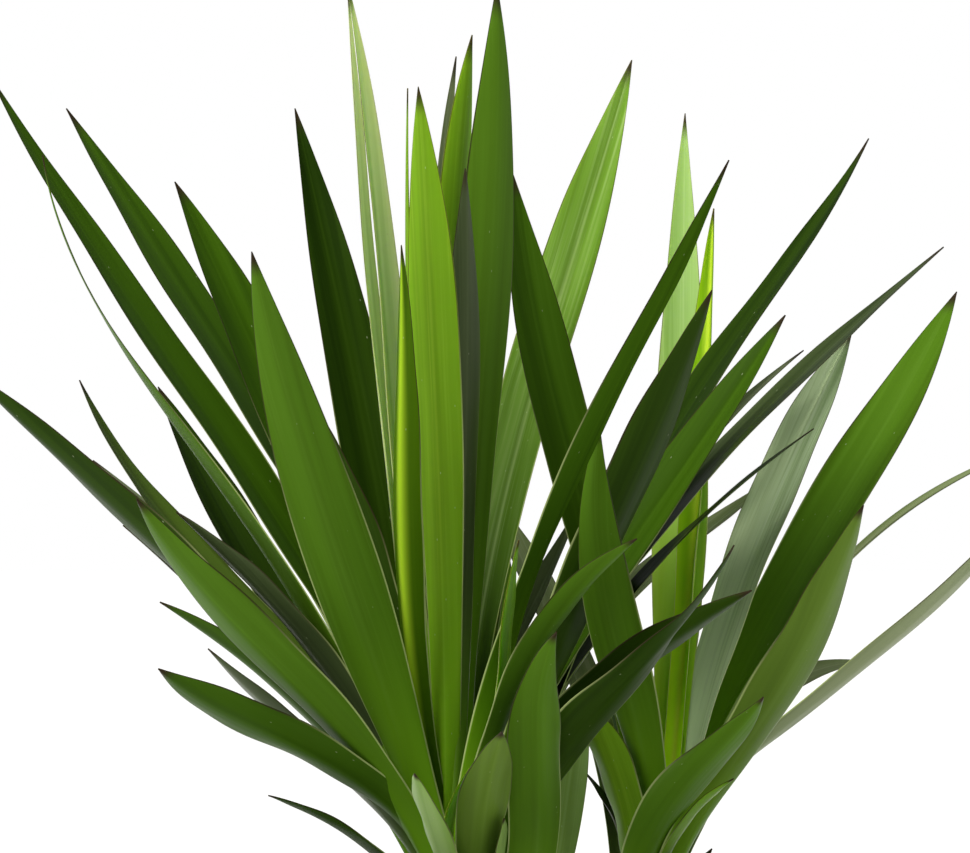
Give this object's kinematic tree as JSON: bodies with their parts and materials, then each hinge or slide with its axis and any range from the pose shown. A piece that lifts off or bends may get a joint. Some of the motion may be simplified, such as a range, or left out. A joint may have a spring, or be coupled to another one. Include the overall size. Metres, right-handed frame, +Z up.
{
  "type": "potted spineless yucca",
  "caption": "Potted yucca: a sawn woody cane standing in a plain tapered pot of soil and carrying leafy shoots of long, folded, sword-shaped leaves.",
  "frame": {"origin": "centre of the pot's flat underside, on the floor", "axes": "+Z up along the cane, -Y towards the front of the plant, +X to the right as seen from the front"},
  "size_m": [0.6718, 0.7714, 1.0077],
  "materials": {
    "pot": "matte, terracotta coloured",
    "soil": "loose and crumbly",
    "bark": "rough bark, smooth at the sawn top",
    "leaf": "soft gloss, fine lengthwise streaks"
  },
  "bodies": {
    "root": {"pot": "pot", "soil": "soil", "cane": "bark", "crown_left": "leaf", "crown_right": "leaf"}
  },
  "joints": []
}
